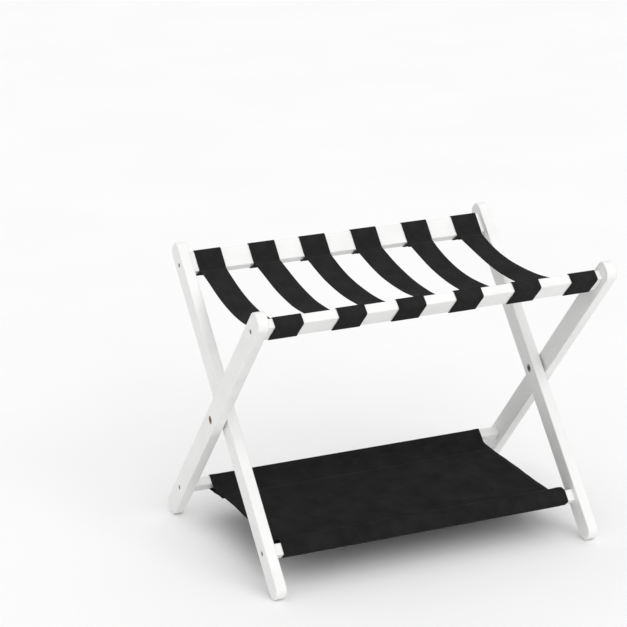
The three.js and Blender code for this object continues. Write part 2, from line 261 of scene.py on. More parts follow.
SCREW_SOCKET_DEEP = 0.0021
SCREW_SHANK_RADIUS = 0.0025
SCREW_TIP_RADIUS = 0.0006
SCREW_TIP_START = 0.048
SCREW_LENGTH = 0.0502

# Angles over which an edge is shaded sharp.
TIMBER_SHARP = math.radians(35)
CLOTH_SHARP = math.radians(60)
METAL_SHARP = math.radians(32)

# The camera, aimed past the pivot.
CAMERA_AZIMUTH = math.radians(-23.125)
CAMERA_ELEVATION = math.radians(18.219)
CAMERA_ROLL = math.radians(-0.793)
CAMERA_DISTANCE = 4.388
CAMERA_RIGHT = -0.1286
CAMERA_UP = 0.1411
CAMERA_LENS = 139.42
SENSOR_WIDTH = 36.0

# How much the wood's grain is drawn out along it.
GRAIN_SQUEEZE = 0.05

# The studio.
WORLD_LIGHT = 0.55
FLOOR_HALF = 20.0
FLOOR_DROP = 0.0005


# ---------------------------------------------------------------- materials

class Nodes:
    """A short way to build a node tree: add makes a node, sets its inputs and links sockets into it."""

    def __init__(self, name):
        self.material = bpy.data.materials.new(name)
        self.material.use_nodes = True
        self.tree = self.material.node_tree
        self.shader = self.tree.nodes["Principled BSDF"]

    def add(self, kind, settings=None, **inputs):
        node = self.tree.nodes.new(kind)
        for key, value in (settings or {}).items():
            setattr(node, key, value)
        for key, value in inputs.items():
            self.set(node, key.replace("_", " "), value)
        return node

    def set(self, node, key, value):
        socket = node.inputs[int(key)] if key.isdigit() else node.inputs[key]
        if isinstance(value, bpy.types.NodeSocket):
            self.tree.links.new(value, socket)
        else:
            socket.default_value = value

    def math(self, operation, first, second=0.0, clamp=False):
        node = self.tree.nodes.new("ShaderNodeMath")
        node.operation = operation
        node.use_clamp = clamp
        self.set(node, "0", first)
        self.set(node, "1", second)
        return node.outputs[0]

    def noise(self, where, scale, detail=3.0, roughness=0.5):
        made = self.add("ShaderNodeTexNoise", Vector=where, Scale=scale, Detail=detail, Roughness=roughness)
        return made.outputs["Factor" if "Factor" in made.outputs else "Fac"]

    def ramp(self, value, low, high, dark, light):
        """A colour between dark and light as value goes from low to high."""
        node = self.tree.nodes.new("ShaderNodeValToRGB")
        node.color_ramp.elements[0].position = low
        node.color_ramp.elements[1].position = high
        node.color_ramp.elements[0].color = (*dark, 1.0)
        node.color_ramp.elements[1].color = (*light, 1.0)
        self.set(node, "Fac", value)
        return node.outputs["Color"]

    def stretch(self, value, low, high, to_low, to_high):
        """A number that goes from to_low to to_high as value goes from low to high."""
        node = self.add("ShaderNodeMapRange", {"clamp": True})
        for key, number in zip(range(5), (value, low, high, to_low, to_high)):
            self.set(node, str(key), number)
        return node.outputs["Result"]

    def mix(self, share, first, second):
        """A blend of two colours, which are the colour mix's inputs 6 and 7."""
        node = self.add("ShaderNodeMix", {"data_type": "RGBA"})
        self.set(node, "0", share)
        self.set(node, "6", first)
        self.set(node, "7", second)
        return node.outputs[2]

    def bump(self, height, strength, distance):
        node = self.add("ShaderNodeBump", Height=height, Strength=strength, Distance=distance)
        return node.outputs["Normal"]

    def finish(self, **inputs):
        for key, value in inputs.items():
            self.set(self.shader, key.replace("_", " "), value)
        return self.material


def object_place(nodes, tilt=0.0, scale=(1.0, 1.0, 1.0)):
    """The place on the piece, turned back from the frame's lean, and squeezed by scale."""
    coordinates = nodes.add("ShaderNodeTexCoord").outputs["Object"]
    turned = nodes.add("ShaderNodeMapping", Vector=coordinates, Rotation=(-tilt, 0.0, 0.0))
    return nodes.add("ShaderNodeMapping", Vector=turned.outputs[0], Scale=scale).outputs[0]


def cloth_place(nodes, scale=(1.0, 1.0, 1.0)):
    """The place on the flat cloth: X across it and Y along it, in metres."""
    coordinates = nodes.add("ShaderNodeUVMap", {"uv_map": "cloth"}).outputs["UV"]
    return nodes.add("ShaderNodeMapping", Vector=coordinates, Scale=scale).outputs[0]


def painted_wood(name, tilt, grain_along):
    """White satin paint over closed grain, with brush drag, soft blotches and grime on the edges."""
    nodes = Nodes(name)
    squeeze = [1.0, 1.0, 1.0]
    squeeze["XYZ".index(grain_along)] = GRAIN_SQUEEZE
    streak_colour = (0.74, 0.735, 0.71, 1.0)
    grime_colour = (0.62, 0.60, 0.56, 1.0)
    along = object_place(nodes, tilt, squeeze)
    plain = object_place(nodes, tilt)
    grain = nodes.noise(along, scale=900.0, detail=4.0, roughness=0.6)
    drag = nodes.noise(along, scale=260.0, detail=2.0, roughness=0.5)
    blotch = nodes.noise(plain, scale=16.0, detail=3.0, roughness=0.55)
    chips = nodes.noise(plain, scale=420.0, detail=3.0, roughness=0.65)
    edge = nodes.add("ShaderNodeAttribute", {"attribute_name": "edge_wear"}).outputs["Fac"]
    paint = nodes.ramp(blotch, 0.3, 0.7, (0.850, 0.852, 0.840), (0.910, 0.910, 0.900))
    streaked = nodes.mix(nodes.stretch(grain, 0.35, 0.7, 0.0, 0.16), paint, streak_colour)
    worn = nodes.math("MULTIPLY", edge, nodes.stretch(chips, 0.5, 0.72, 0.0, 0.35), True)
    colour = nodes.mix(worn, streaked, grime_colour)
    height = nodes.math("ADD", nodes.math("MULTIPLY", grain, 0.5), nodes.math("MULTIPLY", drag, 0.5))
    return nodes.finish(
        Base_Color=colour,
        Roughness=nodes.stretch(blotch, 0.3, 0.7, 0.34, 0.46),
        Normal=nodes.bump(height, strength=0.22, distance=0.0004),
    )


def woven(name, dark, light, pitch_across, pitch_along, ribbed, lint):
    """A woven black cloth: threads over and under each other, with painted shade between them, faded patches
    and specks of lint.
    """
    nodes = Nodes(name)
    # The near-black between the threads is painted shade, standing in for the shade in the weave's hollows.
    painted_gap_shade = (0.004, 0.004, 0.004, 1.0)
    lint_colour = (0.09, 0.088, 0.084, 1.0)
    where = cloth_place(nodes)
    split = nodes.add("ShaderNodeSeparateXYZ", Vector=where)
    across = nodes.math("MULTIPLY", split.outputs["X"], 1.0 / pitch_across)
    along = nodes.math("MULTIPLY", split.outputs["Y"], 1.0 / pitch_along)
    half_step = nodes.math("MULTIPLY", nodes.math("FLOOR", across), 0.5)
    thread_across = nodes.math("PINGPONG", across, 0.5)
    thread_along = nodes.math("PINGPONG", nodes.math("ADD", along, half_step), 0.5)
    weave = nodes.math("MULTIPLY", thread_across, nodes.math("ADD", thread_along, ribbed))
    fuzz = nodes.noise(where, scale=1400.0, detail=3.0, roughness=0.7)
    patches = nodes.noise(cloth_place(nodes, (1.0, 0.7, 1.0)), scale=28.0, detail=4.0, roughness=0.6)
    speck = nodes.noise(where, scale=520.0, detail=2.0, roughness=0.5)
    faded = nodes.ramp(patches, 0.32, 0.72, dark, light)
    # Painted shade: where the threads dip, the colour goes towards the near-black of the gaps.
    threads = nodes.mix(nodes.stretch(weave, 0.0, 0.3, 0.65, 0.0), faded, painted_gap_shade)
    dusty = nodes.mix(nodes.stretch(speck, 0.64, 0.78, 0.0, lint), threads, lint_colour)
    height = nodes.math("ADD", weave, nodes.math("MULTIPLY", fuzz, 0.12))
    return nodes.finish(
        Base_Color=dusty,
        Roughness=nodes.stretch(fuzz, 0.3, 0.7, 0.78, 0.95),
        Specular_IOR_Level=0.08,
        Normal=nodes.bump(height, strength=0.8, distance=0.0006),
    )


def black_webbing():
    return woven(
        "black_webbing_look",
        dark=(0.020, 0.020, 0.0205),
        light=(0.037, 0.037, 0.0365),
        pitch_across=0.0013,
        pitch_along=0.0026,
        ribbed=0.25,
        lint=0.3,
    )


def black_canvas():
    return woven(
        "black_canvas_look",
        dark=(0.0165, 0.0165, 0.0165),
        light=(0.033, 0.033, 0.0325),
        pitch_across=0.0009,
        pitch_along=0.0009,
        ribbed=0.1,
        lint=0.2,
    )


def thread():
    """Sewing thread: black twisted polyester with a slight shine."""
    nodes = Nodes("sewing_thread")
    where = object_place(nodes)
    twist = nodes.noise(where, scale=2600.0, detail=2.0, roughness=0.5)
    colour = nodes.ramp(twist, 0.3, 0.7, (0.014, 0.014, 0.015), (0.045, 0.045, 0.046))
    return nodes.finish(
        Base_Color=colour,
        Roughness=nodes.stretch(twist, 0.3, 0.7, 0.42, 0.6),
        Normal=nodes.bump(twist, strength=0.4, distance=0.0002),
    )


def metal(name, dark, light, tarnish, rough_low, rough_high):
    """A plated metal with tarnished patches and fine scratches."""
    nodes = Nodes(name)
    where = object_place(nodes)
    patches = nodes.noise(where, scale=420.0, detail=4.0, roughness=0.6)
    drawn_out = object_place(nodes, 0.6, (1.0, 0.06, 1.0))
    scratches = nodes.noise(drawn_out, scale=3000.0, detail=2.0, roughness=0.5)
    plated = nodes.ramp(patches, 0.35, 0.7, dark, light)
    colour = nodes.mix(nodes.stretch(scratches, 0.55, 0.8, 0.0, 0.5), plated, (*tarnish, 1.0))
    return nodes.finish(
        Base_Color=colour,
        Metallic=1.0,
        Roughness=nodes.stretch(patches, 0.3, 0.75, rough_low, rough_high),
        Normal=nodes.bump(scratches, strength=0.25, distance=0.0001),
    )


def raw_beech():
    nodes = Nodes("raw_beech")
    where = object_place(nodes, 0.0, (GRAIN_SQUEEZE, 1.0, 1.0))
    grain = nodes.noise(where, scale=1500.0, detail=4.0, roughness=0.6)
    flecks = nodes.noise(where, scale=5000.0, detail=2.0, roughness=0.5)
    colour = nodes.ramp(grain, 0.3, 0.72, (0.44, 0.28, 0.14), (0.70, 0.51, 0.31))
    return nodes.finish(
        Base_Color=colour,
        Roughness=nodes.stretch(flecks, 0.3, 0.7, 0.6, 0.8),
        Normal=nodes.bump(grain, strength=0.3, distance=0.0002),
    )


def moulded_nylon():
    nodes = Nodes("moulded_nylon")
    where = object_place(nodes)
    cloud = nodes.noise(where, scale=260.0, detail=3.0, roughness=0.5)
    grain = nodes.noise(where, scale=3500.0, detail=2.0, roughness=0.5)
    colour = nodes.ramp(cloud, 0.3, 0.7, (0.27, 0.27, 0.262), (0.34, 0.34, 0.33))
    return nodes.finish(
        Base_Color=colour,
        Roughness=nodes.stretch(cloud, 0.3, 0.7, 0.42, 0.58),
        Normal=nodes.bump(grain, strength=0.15, distance=0.0001),
    )


def pale_floor():
    nodes = Nodes("pale_floor")
    where = object_place(nodes)
    cloud = nodes.noise(where, scale=2.5, detail=2.0, roughness=0.5)
    colour = nodes.ramp(cloud, 0.3, 0.7, (0.965, 0.965, 0.965), (0.98, 0.98, 0.98))
    return nodes.finish(Base_Color=colour, Roughness=nodes.stretch(cloud, 0.3, 0.7, 0.75, 0.85))


# ---------------------------------------------------------------- mesh helpers

def add_object(name, mesh, material):
    piece = bpy.data.objects.new(name, mesh)
    bpy.context.scene.collection.objects.link(piece)
    if material is not None:
        mesh.materials.clear()
        mesh.materials.append(material)
    return piece


def apply_modifiers(piece):
    bpy.context.view_layer.update()
    graph = bpy.context.evaluated_depsgraph_get()
    mesh = bpy.data.meshes.new_from_object(piece.evaluated_get(graph))
    piece.modifiers.clear()
    piece.data = mesh


def rounded_outline(y_half, z_low, z_high, radius, steps):
    """The points of a rounded rectangle in Y and Z, anticlockwise."""
    points = []
    centres = [
        (y_half - radius, z_high - radius, 0.0),
        (radius - y_half, z_high - radius, 0.5),
        (radius - y_half, z_low + radius, 1.0),
        (y_half - radius, z_low + radius, 1.5),
    ]
    for y, z, start in centres:
        for step in range(steps + 1):
            angle = math.pi * (start + 0.5 * step / steps)
            points.append((y + radius * math.cos(angle), z + radius * math.sin(angle)))
    return points


def add_prism(mesh, outline, x0, x1):
    """A prism of the outline, along X from x0 to x1."""
    ends = [[mesh.verts.new((x, y, z)) for y, z in outline] for x in (min(x0, x1), max(x0, x1))]
    mesh.faces.new(list(reversed(ends[0])))
    mesh.faces.new(ends[1])
    for i in range(len(outline)):
        j = (i + 1) % len(outline)
        mesh.faces.new((ends[0][i], ends[0][j], ends[1][j], ends[1][i]))


def circle(radius, y, z):
    turns = [2 * math.pi * i / ROUND_SIDES for i in range(ROUND_SIDES)]
    return [(y + radius * math.cos(t), z + radius * math.sin(t)) for t in turns]


def new_mesh(name, build):
    made = bmesh.new()
    build(made)
    mesh = bpy.data.meshes.new(name)
    made.to_mesh(mesh)
    made.free()
    return mesh


def closed_mesh(name, vertices, faces):
    """A mesh of a closed shape, with all its faces turned to face out of it."""
    mesh = bpy.data.meshes.new(name)
    mesh.from_pydata(vertices, [], faces)
    turned_out = bmesh.new()
    turned_out.from_mesh(mesh)
    bmesh.ops.recalc_face_normals(turned_out, faces=turned_out.faces)
    turned_out.to_mesh(mesh)
    turned_out.free()
    return mesh


def add_hole(mesh, radius, y, z, floor, mouth):
    """A drill along X from floor to mouth, which flares where it comes out of the wood."""
    out = math.copysign(1.0, mouth - floor)
    stations = [
        (floor, radius),
        (mouth - RIM_FLARE * out, radius),
        (mouth + OVERCUT * out, radius + RIM_FLARE + OVERCUT),
    ]
    rings = [[mesh.verts.new((x, *point)) for point in circle(size, y, z)] for x, size in stations]
    count = len(rings[0])
    faces = [rings[0], list(reversed(rings[-1]))]
    for near, far in zip(rings, rings[1:]):
        for i in range(count):
            j = (i + 1) % count
            faces.append((near[i], far[i], far[j], near[j]))
    for face in faces:
        mesh.faces.new(face if out < 0 else list(reversed(face)))


def mark_wear(mesh, worn):
    """An attribute that is 1 on the faces where paint wears first."""
    wear = mesh.attributes.new("edge_wear", "FLOAT", "FACE")
    wear.data.foreach_set("value", [1.0 if worn(face.normal) else 0.0 for face in mesh.polygons])


def timber(node, body, material, outline, ends, holes, edge_round, worn):
    """A bar of the outline between two places on X, rounded, drilled, and leaned with its frame."""
    bar = add_object(f"{node}_painted", new_mesh(node, lambda made: add_prism(made, outline, *ends)), None)
    if edge_round:
        bevel = bar.modifiers.new("rounding", "BEVEL")
        bevel.limit_method = "ANGLE"
        bevel.angle_limit = BEVEL_ANGLE
        bevel.width = edge_round
        bevel.segments = BEVEL_SEGMENTS
        bevel.use_clamp_overlap = False
        apply_modifiers(bar)
    mark_wear(bar.data, worn)

    def drill(made):
        for hole in holes:
            add_hole(made, *hole)

    drills = add_object("drills", new_mesh("drills", drill), None)
    cut = bar.modifiers.new("holes", "BOOLEAN")
    cut.operation = "DIFFERENCE"
    cut.solver = "EXACT"
    cut.use_self = True
    cut.object = drills
    apply_modifiers(bar)
    bpy.data.objects.remove(drills)
    bar.data.transform(Matrix.Translation(PIVOT) @ Matrix.Rotation(FRAME_TILT[body], 4, "X"))
    bar.data.shade_smooth()
    bar.data.set_sharp_from_angle(angle=TIMBER_SHARP)
    even = bar.modifiers.new("even normals", "WEIGHTED_NORMAL")
    even.keep_sharp = True
    apply_modifiers(bar)
    bar.data.materials.clear()
    bar.data.materials.append(material)
    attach(bar, body)
    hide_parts(node)


# ---------------------------------------------------------------- timber

def on_leg_edge(normal):
    return 0.1 < abs(normal.x) < 0.98


def on_rail_edge(normal):
    return max(abs(normal.y), abs(normal.z)) < 0.99 and abs(normal.x) < 0.5


def add_leg(node, body, material):
    """A leg with its counterbores.

    The pivot's counterbore is in the outer face of an outer leg, and in the inner face of an inner one.
    """
    low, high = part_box(node)
    side = math.copysign(1.0, low.x + high.x)
    outer_face, inner_face = sorted((low.x, high.x), key=abs, reverse=True)
    bolt_face, into = (outer_face, -side) if body == "outer_frame" else (inner_face, side)
    holes = [
        (SLEEVE_HOLE_RADIUS, 0.0, 0.0, outer_face + OVERCUT * side, inner_face),
        (BOLT_HOLE_RADIUS, 0.0, 0.0, bolt_face + BOLT_HOLE_DEEP * into, bolt_face),
    ]
    dowel_floor = inner_face + LEG_DOWEL_HOLE_DEEP * side
    for z, dowel, _ in RAIL_SEATS:
        holes.append((SHANK_HOLE_RADIUS, 0.0, z, outer_face, inner_face))
        holes.append((SCREW_HOLE_RADIUS, 0.0, z, outer_face - SCREW_HOLE_DEEP * side, outer_face))
        holes.append((DOWEL_HOLE_RADIUS, 0.0, z + dowel, dowel_floor, inner_face))
    outline = rounded_outline(LEG_WIDTH / 2, LEG_FOOT_Z, LEG_TOP_Z, LEG_END_RADIUS, LEG_END_STEPS)
    timber(node, body, material, outline, (low.x, high.x), holes, EDGE_ROUND, on_leg_edge)


def add_rail(node, body, material, z, dowel, deep):
    low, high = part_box(node)
    holes = []
    for side, end in ((-1, low.x), (1, high.x)):
        holes.append((SHANK_HOLE_RADIUS, 0.0, z, end - RAIL_SHANK_HOLE_DEEP * side, end))
        holes.append((DOWEL_HOLE_RADIUS, 0.0, z + dowel, end - RAIL_DOWEL_HOLE_DEEP * side, end))
    outline = rounded_outline(RAIL_THICK / 2, z - deep / 2, z + deep / 2, EDGE_ROUND, EDGE_STEPS)
    timber(node, body, material, outline, (low.x, high.x), holes, 0.0, on_rail_edge)


def add_frames():
    labels = {"outer_frame": "outer", "inner_frame": "inner"}
    rails = {
        "outer_frame": ("front_top_rail", "rear_low_rail"),
        "inner_frame": ("rear_top_rail", "front_low_rail"),
    }
    rail_wood = painted_wood("painted_rails", 0.0, "X")
    for body, label in labels.items():
        leg_wood = painted_wood(f"painted_{label}_legs", FRAME_TILT[body], "Z")
        for side in ("left", "right"):
            add_leg(f"{label}_leg_{side}", body, leg_wood)
        for node, seat in zip(rails[body], RAIL_SEATS):
            add_rail(node, body, rail_wood, *seat)


# ---------------------------------------------------------------- cloth

def leaned_back(y, z):
    """Where a point of the inner frame's drawing is, as Y and Z from the pivot."""
    c, s = math.cos(LEG_LEAN), math.sin(LEG_LEAN)
    return Vector((y * c + z * s, z * c - y * s))


def low_end(y, z):
    """The same for the low end of the outer frame, which is at the back."""
    point = leaned_back(y, -z)
    return Vector((point.x, -point.y))


def rail_corners(lean, z, deep):
    """Centres of a rear rail's rounded edges: low inner, low outer, high outer, high inner."""
    y = RAIL_THICK / 2 - EDGE_ROUND
    low = z - deep / 2 + EDGE_ROUND
    high = z + deep / 2 - EDGE_ROUND
    return [lean(*corner) for corner in ((-y, low), (y, low), (y, high), (-y, high))]


def arc(centre, radius, start, end, steps):
    """Points on an arc round centre, from one direction to another, the way that end - start says."""
    turns = [start + (end - start) * i / steps for i in range(steps + 1)]
    return [centre + Vector((math.cos(t), math.sin(t))) * radius for t in turns]


def direction(vector):
    return math.atan2(vector.y, vector.x)


def resampled(points, step):
    """The line with a point at least every step, and its own corners kept."""
    line = [points[0]]
    for before, after in zip(points, points[1:]):
        count = max(1, math.ceil((after - before).length / step))
        line.extend(before.lerp(after, i / count) for i in range(1, count + 1))
    return line


def lengths_along(points):
    total = [0.0]
    for before, after in zip(points, points[1:]):
        total.append(total[-1] + (after - before).length)
    return total


def wrap(corners, radius):
    """Points round the outside of the corners, anticlockwise.

    The first and the last of the corners are only the points that the line comes from and goes on to.
    """
    line = []
    for before, here, after in zip(corners, corners[1:], corners[2:]):
        arrive = direction(here - before) - math.pi / 2
        leave = direction(after - here) - math.pi / 2
        turn = (leave - arrive) % (2 * math.pi)
        line.extend(arc(here, radius, arrive, arrive + turn, WRAP_STEPS))
    return line


def cloth_solid(name, rows, along, across, thickness, material):
    """A closed thin solid on both sides of a grid of points, rows[i][j].

    along and across are the places of its rows and columns on the flat cloth.
    """
    grid = np.array(rows, float)
    step_along = np.gradient(grid, axis=0)
    step_across = np.gradient(grid, axis=1)
    normal = np.cross(step_across, step_along)
    normal /= np.linalg.norm(normal, axis=2, keepdims=True)
    outward = step_across / np.linalg.norm(step_across, axis=2, keepdims=True)
    upper = grid + normal * thickness / 2
    under = grid - normal * thickness / 2
    left = grid[:, :1] - outward[:, :1] * thickness * CLOTH_RIM
    right = grid[:, -1:] + outward[:, -1:] * thickness * CLOTH_RIM
    rings = np.concatenate([upper, right, under[:, ::-1], left], axis=1)
    across = np.array(across)
    rim = thickness * CLOTH_RIM
    ring_across = np.concatenate([across, [across[-1] + rim], across[::-1], [across[0] - rim]])
    count, size = rings.shape[:2]
    columns = len(across)
    faces = []
    for i in range(count - 1):
        for j in range(size):
            k = (j + 1) % size
            faces.append((i * size + j, i * size + k, (i + 1) * size + k, (i + 1) * size + j))
    for row, flip in ((0, True), (count - 1, False)):
        start = row * size
        cap = []
        for j in range(columns - 1):
            cap.append((start + j, start + j + 1, start + 2 * columns - 1 - j, start + 2 * columns - j))
        cap.append((start + columns - 1, start + columns, start + columns + 1))
        cap.append((start, start + 2 * columns, start + 2 * columns + 1))
        faces.extend(tuple(reversed(face)) if flip else face for face in cap)
    mesh = closed_mesh(name, rings.reshape(-1, 3).tolist(), faces)
    flat = mesh.uv_layers.new(name="cloth")
    for loop in mesh.loops:
        row, column = divmod(loop.vertex_index, size)
        flat.data[loop.index].uv = (ring_across[column], along[row])
    mesh.shade_smooth()
    mesh.set_sharp_from_angle(angle=CLOTH_SHARP)
    return add_object(name, mesh, material)


def stitches(name, seams, material):
    """Sewn stitches: one for each (place, direction, normal) in seams, which are those of its middle."""
    radius = STITCH_RADIUS
    sides = STITCH_SIDES
    vertices = []
    faces = []
    for place, along, normal in seams:
        aside = along.cross(normal)
        start = len(vertices)
        for share, size in STITCH_RINGS:
            sunk = normal * (-radius * STITCH_SINK * (1 - size))
            for k in range(sides):
                turn = 2 * math.pi * k / sides
                offset = (aside * math.cos(turn) + normal * math.sin(turn)) * radius * size
                vertices.append(place + along * STITCH_LENGTH * share + offset + sunk)
        for ring in range(len(STITCH_RINGS) - 1):
            for k in range(sides):
                n = (k + 1) % sides
                a, b = start + ring * sides, start + (ring + 1) * sides
                faces.append((a + k, b + k, b + n, a + n))
        faces.append([start + k for k in range(sides)])
        faces.append([start + (len(STITCH_RINGS) - 1) * sides + k for k in reversed(range(sides))])
    mesh = bpy.data.meshes.new(name)
    mesh.from_pydata([tuple(v) for v in vertices], [], faces)
    mesh.shade_smooth()
    return add_object(name, mesh, material)


def from_pivot(x, point):
    return Vector((x, point.x, point.y)) + PIVOT


# ---------------------------------------------------------------- straps

TOP_CORNERS = rail_corners(leaned_back, TOP_RAIL_Z, TOP_RAIL_DEEP)


def seat_point(index, y, drop=0.0):
    """A place on the strap's hanging part, before twists and ripples."""
    join = TOP_CORNERS[0]
    return Vector((y, join.y - STRAP_SAGS[index] * (1 - (y / join.x) ** 2) - drop))


def strap_half(index):
    """The strap's line from the tail's end, under and round the back rail, to the middle of the seat."""
    low_inner, low_outer, high_outer, high_inner = TOP_CORNERS
    radius = EDGE_ROUND + CLOTH_GAP + STRAP_THICK / 2
    layer = STRAP_THICK * TAIL_LAYER
    tail_places = np.linspace(TAIL_LENGTH, TAIL_LEAVES, TAIL_POINTS)
    tail = [seat_point(index, low_inner.x - back, layer) for back in tail_places]
    tail_side = tail[-1] + Vector((0.0, radius))
    loop = wrap([tail_side, low_outer, high_outer, high_inner, low_inner], radius)
    rail_face = -RAIL_THICK / 2 - CLOTH_GAP - STRAP_THICK / 2
    crease = leaned_back(rail_face, TOP_RAIL_Z - TOP_RAIL_DEEP / 2 + CREASE_RISE)
    seat = [seat_point(index, y) for y in np.linspace(low_inner.x - CREASE_AHEAD, 0.0, SEAT_POINTS)]
    return tail + loop + [crease] + seat


def smooth_step(value, start, end):
    share = min(max((value - start) / (end - start), 0.0), 1.0)
    return share * share * (3 - 2 * share)


def strap_rows(index):
    """The strap as rows of points across it, with the length along it of each row."""
    half = strap_half(index)
    line = resampled(half + [Vector((-point.x, point.y)) for point in reversed(half[:-1])], CLOTH_STEP)
    along = lengths_along(line)
    across = np.linspace(-STRAP_WIDTH / 2, STRAP_WIDTH / 2, STRAP_COLUMNS)
    front = (index - (STRAP_COUNT - 1) / 2) * FRONT_STRAP_PITCH + FRONT_STRAP_SHIFTS[index]
    rear = (index - (STRAP_COUNT - 1) / 2) * REAR_STRAP_PITCH + REAR_STRAP_SHIFTS[index]
    join_y = TOP_CORNERS[0].x
    seat_begins = 2 * STRAP_WIDTH
    rows = []
    for point, distance in zip(line, along):
        from_end = min(distance, along[-1] - distance)
        on_seat = from_end > seat_begins and abs(point.x) < join_y
        place = point.x / join_y
        slack = 1.0 - place ** SEAT_SLACK_POWER if on_seat else 0.0
        narrowing = SEAT_NARROWING * (1.0 - place ** SEAT_NARROWING_POWER) if on_seat else 0.0
        middle = front + (rear - front) * min(max((place + 1) / 2, 0.0), 1.0)
        middle += STRAP_WIDTH * narrowing / 2 - TAIL_SHIFT * (1 - smooth_step(from_end, *TAIL_FADE))
        twist = EVEN_TWISTS[index] + GROWING_TWISTS[index] * place
        rise = BACK_RISES[index] * max(place, 0.0)
        row = []
        for u in across:
            sample_x = index * RIPPLE_STRAP_STEP + u * RIPPLE_ACROSS
            ripple = noise.noise(Vector((sample_x, point.x * RIPPLE_ALONG, RIPPLE_LAYER)))
            edge = 2 * u / STRAP_WIDTH
            lift = slack * (rise + RIPPLE_HEIGHT * ripple + CUPPING_HEIGHT * edge ** 2 - twist * edge)
            row.append(from_pivot(middle + u * (1 - narrowing), point) + Vector((0.0, 0.0, lift)))
        rows.append(row)
    return rows, along, across


def strap_stitches(index, rows):
    """Rows of stitches across the strap, just ahead of each rail, through the seat and the tail."""
    join_y = TOP_CORNERS[0].x
    sewn_width = 1 - 2 * STRAP_SEAM_MARGIN
    seams = []
    for y in [sign * (join_y - ahead) for sign in (-1, 1) for ahead in STRAP_SEAMS]:
        sewn_at = from_pivot(0.0, seat_point(index, y))
        middles = [row[STRAP_COLUMNS // 2] for row in rows]
        nearest = min(range(1, len(rows) - 1), key=lambda i: (middles[i] - sewn_at).yz.length)
        left, right = rows[nearest][0], rows[nearest][-1]
        slope = (middles[nearest + 1] - middles[nearest - 1]).normalized()
        aside = (right - left).normalized()
        normal = slope.cross(aside).normalized()
        normal = normal if normal.z > 0 else -normal
        for j in range(STRAP_STITCHES):
            place = left.lerp(right, STRAP_SEAM_MARGIN + sewn_width * j / (STRAP_STITCHES - 1))
            seams.append((place + normal * STRAP_THICK / 2, aside, normal))
    return seams


def add_strap(index, material, thread_material):
    rows, along, across = strap_rows(index)
    strap = cloth_solid(f"strap_{index + 1}_webbing", rows, along, across, STRAP_THICK, material)
    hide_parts(f"strap_{index + 1}")
    sewn = stitches(f"strap_{index + 1}_stitches", strap_stitches(index, rows), thread_material)
    for piece in (strap, sewn):
        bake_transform(piece, "outer_frame", "inner_frame", (0.0, -0.181, 0.0), (0.0, 0.181, 0.0))


# ---------------------------------------------------------------- shelf

LOW_CORNERS = rail_corners(low_end, LOW_RAIL_Z, LOW_RAIL_DEEP)


def sleeve(top_line, corners):
    """The cloth's line from its hem's end, under and round the back rail, and down onto the shelf."""
    radius = EDGE_ROUND + CLOTH_GAP + SHELF_THICK / 2
    layer = SHELF_THICK * HEM_LAYER
    hem = [Vector((SEAM_Y - HEM_WIDTH * share, SHELF_LEVEL - layer)) for share in HEM_SHARES]
    before = hem[-1] + Vector((0.0, radius))
    after = top_line[0] + Vector((0.0, -radius))
    return hem + wrap([before, *corners, after], radius) + top_line


def shelf_line():
    """The whole cloth as Y and Z from the pivot, from the back hem to the front one."""
    back_line = [Vector(place) for place in BACK_TOP_LINE]
    front_line = [Vector((-y, z)) for y, z in FRONT_TOP_LINE]
    back = sleeve(back_line, LOW_CORNERS)
    front = sleeve(front_line, LOW_CORNERS[:-1])
    level = [Vector((y, SHELF_LEVEL)) for y in np.linspace(SEAM_Y, -SEAM_Y, SHELF_POINTS)]
    return back + level + [Vector((-point.x, point.y)) for point in reversed(front)]


def fold(x, y, start, end, width, height):
    """A soft ridge along the line from start to end, which fades at its ends."""
    line = Vector(end) - Vector(start)
    reach = Vector((x, y)) - Vector(start)
    share = reach.dot(line) / line.length_squared
    off = abs(reach.cross(line)) / line.length
    return height * math.exp(-(off / width) ** 2) * math.exp(-(FOLD_FADE * (share - 0.5)) ** 4)


def wrinkle(x, y):
    """How far the slack cloth lifts at a place on the shelf."""
    inside = max(0.0, 1.0 - (y / SEAM_Y) ** FLAT_POWER)
    wrinkles = 0.0
    for height, in_x, slant, in_y, layer in WRINKLES:
        wrinkles += height * noise.noise(Vector((x * in_x + y * slant, y * in_y, layer)))
    folds = sum(fold(x, y, *place) for place in SHELF_FOLDS)
    left_side = smooth_step(-x, LEFT_LIFT_FROM, SHELF_LENGTH / 2)
    return inside * (wrinkles + folds + LEFT_LIFT * left_side)


def sleeve_slack(x, y, z):
    """How far a sleeve's loose part ahead of its rail puffs up or sinks in, along its length."""
    loose = smooth_step(abs(y), SEAM_Y, LOOSE_FULL) * (1.0 - smooth_step(abs(y), *LOOSE_FADE))
    layer = LOOSE_LAYER + math.copysign(LOOSE_LAYER_STEP, y)
    puff = noise.noise(Vector((x * LOOSE_ALONG, layer, z * LOOSE_ROUND)))
    return LOOSE_HEIGHT * loose * puff


